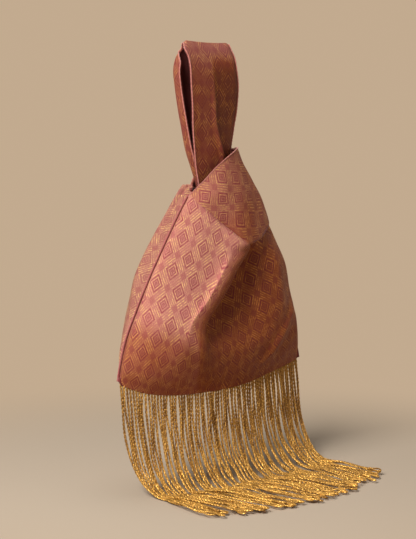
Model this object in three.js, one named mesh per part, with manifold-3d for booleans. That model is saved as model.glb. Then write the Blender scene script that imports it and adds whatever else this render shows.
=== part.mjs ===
// Knot bag with a looped cord fringe, hanging from the top of its long handle.
// Millimetres. X runs along the hem from left to right, the front faces -Y and +Z is up.
// The origin lies on the flat underside of the long handle's top fold, where a hand or a hook holds it.

import * as THREE from 'three';
import Module from 'manifold-3d';
import { mergeVertices } from 'three/addons/utils/BufferGeometryUtils.js';

const wasm = await Module();
wasm.setup();

// Cloth and clearances
const brocadeThickness = 1.2;
const liningThickness = 0.8;
const clothGap = 0.35;
const seamGap = 0.4;

// Long handle
const handleSpread = 16;
const handleLeftReach = 35;
const handleRightReach = 36;
const handleTopLeftReach = 38;
const handleTopRightReach = 32;
const handleBendDrop = 85;
const handleShoulderDrop = 38;
const creaseDepth = 2.4;
const creaseWidth = 7;
const creaseHighX = 2;
const creaseLowX = 12;
const creaseTurnHighDrop = 76;
const creaseTurnLowDrop = 102;
const creaseFadeDrop = 10;
const legGatherDepth = 1.6;
const legSeatGap = 1.1;

// Bag body, measured down from the origin
const hemCornerDrop = 325;
const hemLeftReach = 120;
const hemRightReach = 139;
const hemSag = 17;
const hemBow = 24;
const neckLeftDrop = 156;
const neckLeftReach = 31;
const neckRightDrop = 178;
const neckRightReach = 84;
const frontNeckDip = 31;
const backNeckDip = 16;
const mouthDip = 20;
const frontDepth = 44;
const backDepth = 44;

// Short loop that closes the neck round the long handle
const loopTopLeftDrop = 149;
const loopTopLeftReach = 29;
const loopTopRightDrop = 106;
const loopTopRightReach = 38;
const loopTopDepth = 18;
const loopFlare = 7;

// Looped cord fringe on its heading tape
const tapeThickness = 1.2;
const tapeHeight = 9;
const tapeShow = 1.6;
const tapeInset = 9;
const floorDrop = 432;
const cordWidth = 2;
const cordPitch = 3.2;
const cordLength = 205;
const cordLean = 26;
const cordLeanSwing = 6;
const cordLengthSwing = 11;
const cordFloorBend = 24;
const cordDrift = 2;

// Counts
const panelColumns = 20;
const panelRows = 14;
const handleColumns = 6;
const handleLegRows = 6;
const handleArcRows = 7;
const legRows = 8;
const loopRows = 6;
const cordSteps = 7;
const cordSides = 3;
const fringeSections = 4;
const legGathers = 3;
const cordLeanPhase = 1.7;
const cordLengthPhase = 2.3;
const cordDriftPhase = 0.9;
const legPullPower = 4;
const hemBowPower = 3;

// Shares of a height and of a reach, from the hem up to the neck
const leftSeamShares = [[0, 1], [0.09, 0.99], [0.2, 0.93], [0.36, 0.76], [0.56, 0.55], [0.75, 0.33], [1, 0]];
const rightSeamShares = [[0, 1], [0.2, 0.84], [0.39, 0.69], [0.54, 0.58], [0.71, 0.44], [0.82, 0.29], [1, 0]];

// The front panel hangs in one big diagonal fold. Its edge crosses the width at these shares, from the
// hem up to the neck, and follows one column of the cloth.
const foldEdgeShares = [
  [0, 0.3], [0.09, 0.25], [0.22, 0.2], [0.4, 0.23], [0.57, 0.28], [0.79, 0.36], [1, 0.4],
];
const foldColumnShare = 0.4;
const foldLeftCrowdShare = 2;
const foldRightCrowdShare = 1.3;
const seamRightCrowdShare = 1.5;

// How far the front panel stands forward, in shares of its depth: a row from the left seam to the right
// one for each height from the hem up to the neck.
const frontColumnShares = [0, 0.1, 0.2, 0.3, 0.4, 0.45, 0.55, 0.7, 0.85, 0.95, 1];
const heightShares = [0, 0.09, 0.22, 0.37, 0.57, 0.79, 1];
const frontReliefShares = [
  [0, 0, 0, 0, 0, 0, 0, 0, 0, 0, 0],
  [0, 0.13, 0.3, 0.36, 0.35, 0.31, 0.23, 0.16, 0.08, 0.04, 0],
  [0, 0.2, 0.46, 0.62, 0.71, 0.7, 0.6, 0.45, 0.26, 0.13, 0],
  [0, 0.29, 0.57, 0.74, 0.84, 0.71, 0.48, 0.46, 0.33, 0.17, 0],
  [0, 0.28, 0.47, 0.63, 0.88, 0.76, 0.36, 0.38, 0.3, 0.15, 0],
  [0, 0.27, 0.47, 0.63, 0.9, 0.76, 0.4, 0.29, 0.24, 0.13, 0],
  [0, 0.25, 0.46, 0.66, 0.86, 0.7, 0.5, 0.36, 0.22, 0.1, 0],
];

// How far the back panel stands back, in shares of its depth, over shares of its width and the same
// heights. It swells most near the left seam, where its shoulder shows past the front.
const backAcrossShares = [0, 0.03, 0.06, 0.13, 0.25, 0.45, 0.65, 0.82, 0.93, 1];
const backReliefShares = [
  [0, 0, 0, 0, 0, 0, 0, 0, 0, 0],
  [0, 0.1, 0.22, 0.42, 0.64, 0.8, 0.74, 0.5, 0.24, 0],
  [0, 0.25, 0.44, 0.68, 0.9, 1.06, 1, 0.75, 0.43, 0],
  [0, 0.44, 0.65, 0.86, 1.03, 1.13, 1.05, 0.82, 0.48, 0],
  [0, 0.55, 0.74, 0.9, 0.98, 1.06, 0.97, 0.73, 0.38, 0],
  [0, 0.5, 0.67, 0.81, 0.85, 0.89, 0.78, 0.54, 0.29, 0],
  [0, 0.38, 0.51, 0.62, 0.64, 0.7, 0.57, 0.36, 0.2, 0],
];
const hemSkewShare = 0.72;
const hemFullnessShare = 2.2;
const seamCrowdShare = 0.5;
const mouthFadeShare = 0.6;
const loopRoundShare = 0.6;
const cordHangShares = [0.2, 0.5];
const cordTurnShare = 0.32;
const mouthStartShare = 0.28;
const mouthEndShare = 0.8;
const legPinchShare = 0.75;
const legSeatStartShare = 0.27;
const legSeatEndShare = 0.42;
const legSeatRowShare = 0.98;
const legSpreadShare = 0.9;

const fabricPink = new THREE.MeshStandardMaterial({ color: 0x9a5048, roughness: 0.62, metalness: 0.05 });
const fabricLining = new THREE.MeshStandardMaterial({ color: 0x5a2328, roughness: 0.8, metalness: 0 });
const cordGold = new THREE.MeshStandardMaterial({ color: 0xa87b33, roughness: 0.45, metalness: 0.35 });

function mix(low, high, share) {
  return low + (high - low) * share;
}

// Eases from 0 to 1 while the value goes from start to end.
function ease(start, end, value) {
  return THREE.MathUtils.smoothstep((value - start) / (end - start), 0, 1);
}

// A smooth function through the points of a table of shares.
function through(table) {
  const slope = table.map((point, i) => {
    const before = table[Math.max(i - 1, 0)];
    const after = table[Math.min(i + 1, table.length - 1)];
    return (after[1] - before[1]) / (after[0] - before[0]);
  });
  return (share) => {
    let i = 0;
    while (i < table.length - 2 && share > table[i + 1][0]) i += 1;
    const span = table[i + 1][0] - table[i][0];
    const s = THREE.MathUtils.clamp((share - table[i][0]) / span, 0, 1);
    const rest = 1 - s;
    return table[i][1] * rest * rest * (1 + 2 * s) + table[i + 1][1] * s * s * (1 + 2 * rest)
      + span * s * rest * (slope[i] * rest - slope[i + 1] * s);
  };
}

// A smooth function of two shares through a table of rows.
function surfaceThrough(columnShares, rowShares, table) {
  const lines = columnShares.map((_, column) =>
    through(rowShares.map((share, row) => [share, table[row][column]])));
  return (column, row) => through(columnShares.map((share, i) => [share, lines[i](row)]))(column);
}

// A grid of points: rows of columns, from a function of two shares.
function gridOf(columns, rows, place) {
  return Array.from({ length: rows + 1 }, (_, row) =>
    Array.from({ length: columns + 1 }, (__, column) => place(column / columns, row / rows)));
}

// Unit normals at a grid's points, flat along Y at the columns named as seams.
function normalsOf(grid, closed, seams) {
  const last = grid[0].length - 1;
  return grid.map((line, row) => line.map((point, column) => {
    const left = closed && column === 0 ? last - 1 : Math.max(column - 1, 0);
    const right = closed && column === last ? 1 : Math.min(column + 1, last);
    const across = grid[row][right].clone().sub(grid[row][left]);
    const above = grid[Math.min(row + 1, grid.length - 1)][column];
    const up = above.clone().sub(grid[Math.max(row - 1, 0)][column]);
    const normal = across.cross(up);
    if (seams && (column === 0 || column === last)) normal.y = 0;
    return normal.normalize();
  }));
}

function offsetGrid(grid, normals, depth) {
  return grid.map((line, row) => line.map((point, column) =>
    point.clone().addScaledVector(normals[row][column], -depth)));
}

function geometryOf(positions, indices) {
  const geometry = new THREE.BufferGeometry();
  geometry.setAttribute('position', new THREE.Float32BufferAttribute(positions, 3));
  geometry.setIndex(indices);
  return geometry;
}

// One closed body between an outer grid and an inner grid. A closed grid is a ring of columns.
function slabOf(outer, inner, closed) {
  const rows = outer.length - 1;
  const columns = outer[0].length - 1;
  const used = closed ? columns : columns + 1;
  const positions = [];
  for (const grid of [outer, inner]) {
    for (const line of grid) {
      for (let column = 0; column < used; column += 1) positions.push(...line[column].toArray());
    }
  }
  const at = (side, row, column) => side * (rows + 1) * used + row * used + (column % used);
  const indices = [];
  const face = (a, b, c, d) => indices.push(a, b, c, a, c, d);
  for (let row = 0; row < rows; row += 1) {
    for (let column = 0; column < columns; column += 1) {
      face(at(0, row, column), at(0, row, column + 1), at(0, row + 1, column + 1), at(0, row + 1, column));
      face(at(1, row, column), at(1, row + 1, column), at(1, row + 1, column + 1), at(1, row, column + 1));
    }
  }
  for (let column = 0; column < columns; column += 1) {
    face(at(1, 0, column), at(1, 0, column + 1), at(0, 0, column + 1), at(0, 0, column));
    face(at(0, rows, column), at(0, rows, column + 1), at(1, rows, column + 1), at(1, rows, column));
  }
  if (!closed) {
    for (let row = 0; row < rows; row += 1) {
      face(at(0, row, 0), at(0, row + 1, 0), at(1, row + 1, 0), at(1, row, 0));
      face(at(1, row, columns), at(1, row + 1, columns), at(0, row + 1, columns), at(0, row, columns));
    }
  }
  return geometryOf(positions, indices);
}

// A layer of cloth that starts at a depth under the outer face of a grid.
function layerOf(grid, normals, depth, thickness, closed) {
  return slabOf(offsetGrid(grid, normals, depth), offsetGrid(grid, normals, depth + thickness), closed);
}

const group = new THREE.Group();

function add(name, geometry, material) {
  const mesh = new THREE.Mesh(geometry, material.clone());
  mesh.name = name;
  group.add(mesh);
}

const liningDepth = brocadeThickness + clothGap;
const clothDepth = liningDepth + liningThickness;

function addLinedCloth(outerName, liningName, grid, normals, closed) {
  add(outerName, layerOf(grid, normals, 0, brocadeThickness, closed), fabricPink);
  add(liningName, layerOf(grid, normals, liningDepth, liningThickness, closed), fabricLining);
}

// Bag body. A column share runs from the left seam to the right one, a row share from the hem to the neck.
const leftSeam = through(leftSeamShares);
const rightSeam = through(rightSeamShares);
const foldEdge = through(foldEdgeShares);
const frontRelief = surfaceThrough(frontColumnShares, heightShares, frontReliefShares);
const backRelief = surfaceThrough(backAcrossShares, heightShares, backReliefShares);
const hemHalf = tapeThickness / 2 + clothGap + clothDepth;

// Columns lie closer together near the side seams, where the cloth turns.
function acrossShare(column) {
  return mix(column, (1 - Math.cos(Math.PI * column)) / 2, seamCrowdShare);
}

// Half of what the hem holds between its two faces.
function hemHalfAt(column, row) {
  return column === 0 || column === 1 ? 0 : (hemHalf - seamGap / 2) * (1 - row);
}

function hemDip(across) {
  return hemSag * (1 - Math.abs(2 * across ** hemSkewShare - 1) ** hemFullnessShare);
}

// Place of the panels' plane, without their depth.
function panelPlane(across, row, neckDip) {
  const left = -mix(neckLeftReach, hemLeftReach, leftSeam(row));
  const right = mix(neckRightReach, hemRightReach, rightSeam(row));
  const cornerHeight = mix(-hemCornerDrop, mix(-neckLeftDrop, -neckRightDrop, across), row);
  const dip = hemDip(across) * (1 - row) ** 2 + neckDip * Math.sin(Math.PI * across) * row ** 2;
  return { x: mix(left, right, across), z: cornerHeight - dip };
}

function seamBow(across, row) {
  return -hemBow * Math.sin(Math.PI * across) * (1 - row) ** hemBowPower;
}

// Columns of the front panel lean with the big fold, so that one of them runs along its edge.
function frontAcross(column, row) {
  const edge = foldEdge(row);
  if (column < foldColumnShare) return edge * (column / foldColumnShare) ** foldLeftCrowdShare;
  const past = (column - foldColumnShare) / (1 - foldColumnShare);
  return mix(1, edge, (1 - past ** foldRightCrowdShare) ** seamRightCrowdShare);
}

function frontPoint(column, row) {
  const across = frontAcross(column, row);
  const plane = panelPlane(across, row, frontNeckDip);
  const forward = frontDepth * frontRelief(column, row);
  const y = -seamGap / 2 - hemHalfAt(column, row) - forward + seamBow(across, row);
  return new THREE.Vector3(plane.x, y, plane.z);
}

// The back panel's upper edge also sags open below the short loop, where the mouth is.
function mouthShare(across) {
  const share = (across - mouthStartShare) / (mouthEndShare - mouthStartShare);
  return share > 0 && share < 1 ? Math.sin(Math.PI * share) ** 2 : 0;
}

function backPoint(column, row, openMouth) {
  const across = acrossShare(column);
  const plane = panelPlane(across, row, backNeckDip);
  const back = backDepth * backRelief(across, row);
  const y = seamGap / 2 + hemHalfAt(column, row) + back + seamBow(across, row);
  const sag = openMouth ? mouthDip * mouthShare(across) * ease(mouthFadeShare, 1, row) : 0;
  return new THREE.Vector3(plane.x, y, plane.z - sag);
}

const frontGrid = gridOf(panelColumns, panelRows, frontPoint);
const backGrid = gridOf(panelColumns, panelRows, (column, row) => backPoint(1 - column, row, true));
const frontNormals = normalsOf(frontGrid, false, true);
const backNormals = normalsOf(backGrid, false, true);
addLinedCloth('outer_front_panel', 'front_lining', frontGrid, frontNormals, false);
addLinedCloth('outer_back_panel', 'back_lining', backGrid, backNormals, false);

// Short loop: a ring of cloth from the panels' upper edges up to its own tilted rim.
function loopPoint(turn, row) {
  const front = turn <= 0.5;
  const column = front ? turn * 2 : 2 - turn * 2;
  const across = acrossShare(column);
  const low = front ? frontPoint(column, 1) : backPoint(column, 1, false);
  low.z += clothGap + seamGap;
  if (column === 0 || column === 1) low.y = 0;
  const round = Math.sin(Math.PI * column) ** loopRoundShare;
  const high = new THREE.Vector3(
    mix(-loopTopLeftReach, loopTopRightReach, across),
    (front ? -1 : 1) * loopTopDepth * round,
    -mix(loopTopLeftDrop, loopTopRightDrop, across),
  );
  const swell = Math.sin(Math.PI * row) * loopFlare;
  const point = low.lerp(high, row);
  point.x += swell * across ** 2;
  point.y += (front ? -1 : 1) * swell * round / 2;
  return point;
}

const loopGrid = gridOf(panelColumns * 2, loopRows, loopPoint);
const loopNormals = normalsOf(loopGrid, true, false);
const rimNormals = [...frontNormals[panelRows], ...backNormals[panelRows].slice(1)];
loopNormals[0] = rimNormals.map((normal) => normal.clone());
addLinedCloth('short_loop_outer', 'short_loop_lining', loopGrid, loopNormals, true);

// Long handle: an upper loop above the bend line and two legs below it.
const topRadius = handleSpread / 2;
const innerRadius = topRadius - clothDepth;
const archCentre = -innerRadius * Math.cos(Math.PI / handleArcRows / 2);

function handleLeft(z) {
  return -mix(handleLeftReach, handleTopLeftReach, ease(-handleShoulderDrop, 0, z));
}

function handleRight(z) {
  return mix(handleRightReach, handleTopRightReach, ease(-handleShoulderDrop, 0, z));
}

// The crease that runs down the handle's front face sets its right part back.
function handleCrease(x, z) {
  const line = mix(creaseHighX, creaseLowX, ease(-creaseTurnHighDrop, -creaseTurnLowDrop, z));
  return creaseDepth * ease(line, line + creaseWidth, x) * ease(-creaseFadeDrop, -handleShoulderDrop, z);
}

function handleLoopPoint(column, row) {
  const steps = handleLegRows * 2 + handleArcRows;
  const step = Math.round(row * steps);
  if (step >= handleLegRows && step <= handleLegRows + handleArcRows) {
    const angle = Math.PI * (step - handleLegRows) / handleArcRows;
    const z = archCentre + topRadius * Math.sin(angle);
    return new THREE.Vector3(mix(handleLeft(z), handleRight(z), column), -topRadius * Math.cos(angle), z);
  }
  const front = step < handleLegRows;
  const share = front ? step / handleLegRows : (steps - step) / handleLegRows;
  const z = mix(-handleBendDrop + seamGap / 2, archCentre, share);
  const x = mix(handleLeft(z), handleRight(z), column);
  return new THREE.Vector3(x, front ? -topRadius + handleCrease(x, z) : topRadius, z);
}

const handleGrid = gridOf(handleColumns, handleLegRows * 2 + handleArcRows, handleLoopPoint);
const handleNormals = normalsOf(handleGrid, false, false);
addLinedCloth('long_handle_outer', 'long_handle_lining', handleGrid, handleNormals, false);

// A leg runs from the bend line down through the short loop and is sewn inside its panel's upper edge.
function legSeat(front, column) {
  const share = mix(legSeatStartShare, legSeatEndShare, column);
  const seat = front ? frontPoint(share, legSeatRowShare) : backPoint(share, legSeatRowShare, false);
  const normals = front ? frontNormals : backNormals;
  const nearest = Math.round((front ? share : 1 - share) * panelColumns);
  return seat.addScaledVector(normals[panelRows][nearest], -(clothDepth + legSeatGap));
}

function legPoint(front, column, row) {
  const z = -handleBendDrop - seamGap / 2;
  const x = mix(handleLeft(z), handleRight(z), column);
  const side = front ? -1 : 1;
  const high = new THREE.Vector3(x, side * topRadius + (front ? handleCrease(x, z) : 0), z);
  const low = legSeat(front, column);
  const point = low.clone().lerp(high, row);
  point.x = mix(low.x, high.x, row ** (1 / legSpreadShare));
  point.y = mix(high.y * mix(legPinchShare, 1, row), low.y, (1 - row) ** legPullPower);
  point.y -= side * legGatherDepth * Math.sin(Math.PI * column * legGathers) * Math.sin(Math.PI * row) ** 2;
  return point;
}

for (const front of [true, false]) {
  const side = front ? 'front' : 'back';
  const place = (column, row) => legPoint(front, front ? column : 1 - column, row);
  const grid = gridOf(handleColumns, legRows, place);
  const normals = normalsOf(grid, false, false);
  addLinedCloth(`handle_${side}_leg_outer`, `handle_${side}_leg_lining`, grid, normals, false);
}

// Heading tape, sewn into the hem between the two linings, with the cords hanging from it.
function hemPlace(across) {
  const x = mix(-hemLeftReach, hemRightReach, across);
  const y = -hemBow * Math.sin(Math.PI * across);
  return new THREE.Vector3(x, y, -hemCornerDrop - hemDip(across));
}

const hemWidth = hemLeftReach + hemRightReach;
const tapeStart = tapeInset / hemWidth;
const tapeEnd = 1 - tapeStart;
const cordCount = Math.round((hemWidth - tapeInset * 2) / cordPitch / fringeSections) * fringeSections;

function tapeSlice(start, end, columns) {
  const grid = gridOf(columns, 1, (column, row) => {
    const place = hemPlace(mix(start, end, column));
    place.y -= tapeThickness / 2;
    place.z += mix(-tapeShow, tapeHeight - tapeShow, row);
    return place;
  });
  const back = grid.map((line) => line.map((point) => point.clone().setY(point.y + tapeThickness)));
  return slabOf(grid, back, false);
}

// A cord drops from the hem, leans forward, turns on the floor and runs out along it.
function cordRoute(index) {
  const top = hemPlace(mix(tapeStart, tapeEnd, (index + 0.5) / cordCount));
  top.z -= tapeShow / 2;
  const floor = -floorDrop + cordWidth / 2;
  const drop = top.z - floor - cordFloorBend;
  const lean = cordLean + cordLeanSwing * Math.sin(index * cordLeanPhase);
  const swing = cordLengthSwing * Math.sin(index * cordLengthPhase);
  const run = cordLength + swing - Math.hypot(drop, lean) - cordFloorBend * Math.PI / 2;
  const drift = cordDrift * Math.sin(index * cordDriftPhase);
  const place = (sideways, forward, z) => new THREE.Vector3(top.x + sideways, top.y - forward, z);
  const points = [
    top,
    place(0, lean * cordHangShares[0], top.z - drop * cordHangShares[1]),
    place(0, lean, top.z - drop),
    place(0, lean + cordFloorBend * cordTurnShare, floor + cordFloorBend * cordTurnShare),
    place(0, lean + cordFloorBend, floor),
    place(drift, lean + cordFloorBend + run / 2, floor),
    place(drift, lean + cordFloorBend + run, floor),
  ];
  return new THREE.CatmullRomCurve3(points, false, 'centripetal');
}

function cordGeometry(index) {
  const section = new THREE.Shape();
  for (let side = 0; side < cordSides; side += 1) {
    const angle = Math.PI * 2 * side / cordSides;
    const x = Math.cos(angle) * cordWidth / 2;
    const y = Math.sin(angle) * cordWidth / 2;
    if (side === 0) section.moveTo(x, y);
    else section.lineTo(x, y);
  }
  section.closePath();
  return new THREE.ExtrudeGeometry(section, { steps: cordSteps, extrudePath: cordRoute(index) });
}

function solidOf(geometry) {
  const bare = geometry.index ? geometry : geometry.clone();
  bare.deleteAttribute('normal');
  bare.deleteAttribute('uv');
  const merged = mergeVertices(bare, 1e-4);
  return new wasm.Manifold(new wasm.Mesh({
    numProp: 3,
    vertProperties: new Float32Array(merged.attributes.position.array),
    triVerts: new Uint32Array(merged.index.array),
  }));
}

function geometryFrom(solid) {
  const mesh = solid.getMesh();
  return geometryOf(Array.from(mesh.vertProperties), Array.from(mesh.triVerts));
}

// The sections are sewn on side by side, a cloth's gap apart.
const cordsEach = cordCount / fringeSections;
const sectionMarginShare = clothGap / 2 / hemWidth;
for (let section = 0; section < fringeSections; section += 1) {
  const start = mix(tapeStart, tapeEnd, section / fringeSections) + sectionMarginShare;
  const end = mix(tapeStart, tapeEnd, (section + 1) / fringeSections) - sectionMarginShare;
  let solid = solidOf(tapeSlice(start, end, panelColumns / 2));
  for (let cord = 0; cord < cordsEach; cord += 1) {
    solid = solid.add(solidOf(cordGeometry(section * cordsEach + cord)));
  }
  add(`fringe_section_${section + 1}`, geometryFrom(solid), cordGold);
}

export default group;
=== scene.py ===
"""A brocade knot bag with a fringe of looped gold cord, standing upright by its handle on a pale floor."""

import math

import bpy
import numpy as np
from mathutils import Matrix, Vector


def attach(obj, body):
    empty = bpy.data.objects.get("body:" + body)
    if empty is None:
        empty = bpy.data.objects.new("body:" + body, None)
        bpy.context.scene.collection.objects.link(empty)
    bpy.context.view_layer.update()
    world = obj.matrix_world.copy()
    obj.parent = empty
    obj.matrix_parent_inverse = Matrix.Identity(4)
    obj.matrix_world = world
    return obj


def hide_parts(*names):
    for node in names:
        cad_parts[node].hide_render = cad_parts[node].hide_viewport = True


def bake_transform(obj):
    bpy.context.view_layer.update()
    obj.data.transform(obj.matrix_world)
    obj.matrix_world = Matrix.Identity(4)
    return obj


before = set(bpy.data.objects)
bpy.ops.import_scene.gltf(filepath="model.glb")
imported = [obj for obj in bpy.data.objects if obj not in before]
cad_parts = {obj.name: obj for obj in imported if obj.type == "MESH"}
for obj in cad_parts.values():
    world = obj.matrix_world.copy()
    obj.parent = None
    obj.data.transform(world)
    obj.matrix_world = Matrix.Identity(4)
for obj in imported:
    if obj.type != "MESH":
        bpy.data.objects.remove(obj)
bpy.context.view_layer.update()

MM = 0.001

# Real sizes of the cloth and the cords, in millimetres
PATTERN_TILE = 21.0
BROCADE_THICKNESS = 1.0
LINING_GAP = 1.3
LINING_THICKNESS = 0.5
ROLLED_EDGE_RADIUS = 0.75
LOOP_RIM_RADIUS = 0.6
# The radius of the dark tube that is painted shadow in the left seam's crevice
SEAM_SHADOW_RADIUS = 0.42
SCALLOP_PITCH = 4.2
STITCH_PITCH = 4.0
STITCH_RADIUS = 0.2
CORD_COUNT = 76
CORD_LENGTH = 205.0
CORD_PLY_RADIUS = 0.74
CORD_TWIST_PITCH = 8.0

# How far a cord's strand lies from its middle, and how long its end loop is and how much it opens
CORD_APART = 0.6
LOOP_LENGTH = 12.0
LOOP_SPREAD = 1.9

# How deep the scallops of a rolled edge are, as a share of its radius, and those of a seam's roll
EDGE_SCALLOP = 0.55
SEAM_SCALLOP = 0.15

# How finely the pieces are drawn
PANEL_COLUMNS = 230
PANEL_ROWS = 170
LOOP_COLUMNS = 200
LOOP_ROWS = 60
HANDLE_COLUMNS = 70
HANDLE_ROWS = 260
EDGE_STEP = 0.9
CORD_POINTS = 165
CORD_SIDES = 7
RIPPLE_WAVES = 9

# The directions from which a tube's rings and a cord's twist are turned
TUBE_GUIDE = (0.35, 0.9, 0.25)
CORD_GUIDE = (0.9, 0.35, 0.1)

# The front panel's rows at which the side seams and the stitches start, and the stitches' column
SEAM_START = 26
STITCH_START = 4
STITCH_COLUMN = 3

# The front panel's shape, row by row from under the short loop down to the hem. Each row runs from the
# left seam over the lit plane to the big fold's edge (the fifth point), drops behind it and goes on to
# the right seam.
FRONT_NET = [
    [(-22, 0, -141), (-25, -2, -144), (-15, -6, -155), (3, -11, -173), (21, -16, -188), (30, -15, -188),
     (39, -12, -186), (50, -9, -183), (64, -6, -178), (76, -2, -171), (80, 1, -169)],
    [(-24, 0, -147), (-31, -7, -150), (-22, -19, -163), (-4, -30, -181), (13, -38, -196), (26, -33, -198),
     (38, -20, -198), (51, -16, -196), (70, -11, -190), (85, -3, -183), (88, 1, -182)],
    [(-34, 0, -160), (-38, -8, -162), (-29, -21, -175), (-8, -33, -195), (3, -37, -205), (22, -34, -208),
     (38, -10, -209), (60, -15, -207), (78, -14, -205), (97, -5, -202), (102, 1, -202)],
    [(-55, 0, -191), (-59, -9, -192), (-47, -22, -204), (-20, -35, -217), (-12, -40, -218), (8, -36, -221),
     (24, -9, -225), (56, -17, -226), (82, -19, -225), (107, -8, -224), (112, 1, -224)],
    [(-79, 0, -229), (-84, -10, -230), (-67, -25, -241), (-44, -36, -249), (-38, -42, -248), (-19, -38, -252),
     (-2, -14, -257), (34, -21, -259), (78, -24, -257), (114, -9, -255), (121, 1, -254)],
    [(-98, 0, -263), (-103, -11, -264), (-89, -28, -268), (-67, -39, -272), (-61, -42, -271),
     (-44, -41, -275), (-28, -26, -280), (16, -27, -282), (70, -28, -280), (120, -10, -280), (128, 1, -279)],
    [(-110, 0, -287), (-114, -10, -288), (-101, -25, -294), (-77, -37, -298), (-60, -41, -298),
     (-46, -42, -299), (-28, -36, -300), (16, -33, -300), (66, -29, -299), (124, -9, -299), (132, 1, -298)],
    [(-117, 0, -310), (-119, -7, -311), (-103, -19, -319), (-75, -28, -323), (-54, -31, -324),
     (-38, -32, -324), (-17, -32, -323), (25, -29, -321), (74, -21, -317), (126, -7, -314), (136, 1, -314)],
    [(-120, 0, -325), (-116, -3, -330), (-93, -11, -339), (-65, -17, -343), (-44, -20, -344),
     (-27, -21, -344), (-7, -22, -344), (34, -20, -342), (82, -12, -336), (126, -3, -330), (138, 1, -327)],
]

# Creases of the front panel: start and end in x and z, half width and height. A negative one is a hollow.
FRONT_CREASES = [
    ((118, -264), (48, -326), 5.0, 4.0),
    ((124, -290), (78, -324), 6.5, -2.4),
    ((40, -212), (34, -292), 9.0, -1.8),
    ((84, -210), (86, -300), 10.0, 1.4),
    ((2, -150), (-46, -262), 12.0, -0.9),
]

# The back panel's shape, in the same rows, from the left seam round the back to the right seam.
BACK_NET = [
    [(-22, 0, -139), (-22, 9, -139), (-10, 14, -141), (10, 15, -147), (34, 13, -155), (58, 9, -163),
     (72, 5, -168), (80, 1, -169)],
    [(-24, 0, -147), (-26, 11, -144), (-14, 14, -146), (10, 20, -156), (36, 20, -166), (64, 15, -176),
     (80, 8, -181), (88, 1, -182)],
    [(-34, 0, -160), (-37, 13, -160), (-27, 16, -163), (6, 25, -174), (38, 27, -186), (72, 20, -196),
     (93, 10, -201), (102, 1, -202)],
    [(-55, 0, -191), (-57, 16, -190), (-45, 26, -193), (-6, 35, -202), (36, 37, -212), (76, 28, -220),
     (102, 13, -223), (112, 1, -224)],
    [(-79, 0, -229), (-82, 18, -229), (-64, 36, -233), (-22, 44, -238), (30, 44, -244), (78, 34, -250),
     (110, 16, -253), (121, 1, -254)],
    [(-98, 0, -263), (-98, 12, -264), (-78, 34, -268), (-30, 45, -272), (30, 45, -274), (82, 35, -277),
     (116, 17, -279), (128, 1, -279)],
    [(-110, 0, -287), (-109, 8, -289), (-86, 27, -294), (-34, 38, -298), (32, 38, -299), (86, 29, -299),
     (120, 14, -298), (132, 1, -298)],
    [(-117, 0, -310), (-116, 4, -313), (-90, 13, -322), (-36, 18, -327), (32, 18, -327), (88, 13, -322),
     (123, 7, -316), (136, 1, -314)],
    [(-120, 0, -325), (-117, -1, -330), (-92, -8, -339), (-38, -18, -344), (32, -17, -342), (84, -9, -336),
     (124, -1, -330), (138, 1, -327)],
]

# The short loop, from its finished rim down to where it turns under on the panels. Each row starts and
# ends at the back of the left tip and runs over the front, round the right side and behind.
LOOP_NET = [
    [(-23, 4, -151), (-29, -2, -151), (-30, -8, -147), (-20, -14, -136), (-6, -17, -123), (10, -17, -113),
     (31, -11, -104), (39, 2, -104), (29, 15, -110), (8, 19, -122), (-6, 17, -137), (-16, 11, -148)],
    [(-23, 5, -155), (-29, -3, -154), (-29, -11, -152), (-17, -17, -143), (-3, -20, -132), (17, -18, -122),
     (42, -8, -117), (49, 6, -120), (36, 19, -126), (14, 23, -134), (-6, 19, -147), (-17, 12, -154)],
    [(-24, 6, -160), (-29, -5, -157), (-27, -15, -160), (-13, -21, -154), (4, -23, -144), (28, -19, -136),
     (58, -6, -136), (62, 8, -141), (44, 23, -148), (18, 29, -152), (-8, 28, -159), (-22, 19, -161)],
    [(-25, 7, -164), (-27, -7, -159), (-12, -20, -173), (6, -25, -168), (24, -24, -160), (48, -17, -153),
     (75, -4, -156), (76, 11, -163), (54, 26, -170), (22, 33, -171), (-10, 33, -171), (-26, 23, -168)],
    [(-25, 8, -168), (-19, -8, -165), (7, -22, -188), (24, -30, -197), (43, -26, -195), (63, -18, -189),
     (86, -4, -180), (86, 12, -185), (62, 27, -191), (24, 36, -190), (-14, 38, -184), (-30, 26, -174)],
    [(-23, 6, -168), (-14, -5, -166), (14, -17, -188), (32, -23, -194), (48, -20, -192), (66, -13, -186),
     (81, -2, -179), (80, 8, -184), (58, 22, -190), (24, 31, -188), (-12, 34, -182), (-27, 22, -173)],
]

# The long handle's two legs: height, left edge and right edge for the front leg, then for the back leg,
# and how far apart the legs lie. The loop is pinched at the top and opens like a drop below it.
HANDLE_LEGS = [
    (-4, -38, 31, -34, 30, 9.5),
    (-14, -36, 33, -39, 32, 16.0),
    (-26, -35, 34, -41, 34, 20.0),
    (-40, -34, 37, -40, 35, 20.0),
    (-62, -32, 39, -36, 35, 19.0),
    (-85, -30, 37, -32, 34, 16.0),
    (-106, -27, 33, -27, 31, 14.5),
    (-124, -24, 32, -20, 31, 13.0),
    (-142, -20, 34, -13, 33, 13.5),
    (-166, -14, 36, -8, 38, 15.0),
]
HANDLE_TOP_Z = 2.0
HANDLE_TOP_LEFT = -36.0
HANDLE_TOP_RIGHT = 30.0

# How much of the back leg's left side turns forward, to close the gap between the legs, and how softly
BACK_LEG_SIDE = 12.0
BACK_LEG_BEND = 2.0

# The pleat that runs down the front leg: height, place across and how deep it is set back.
PLEAT = [
    (-4, -6, 0.0), (-26, -3, 0.2), (-42, 0, 1.0), (-58, 2, 2.6), (-78, 4, 3.9), (-97, 11, 4.3),
    (-110, 16, 4.3), (-170, 22, 4.0),
]

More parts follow.
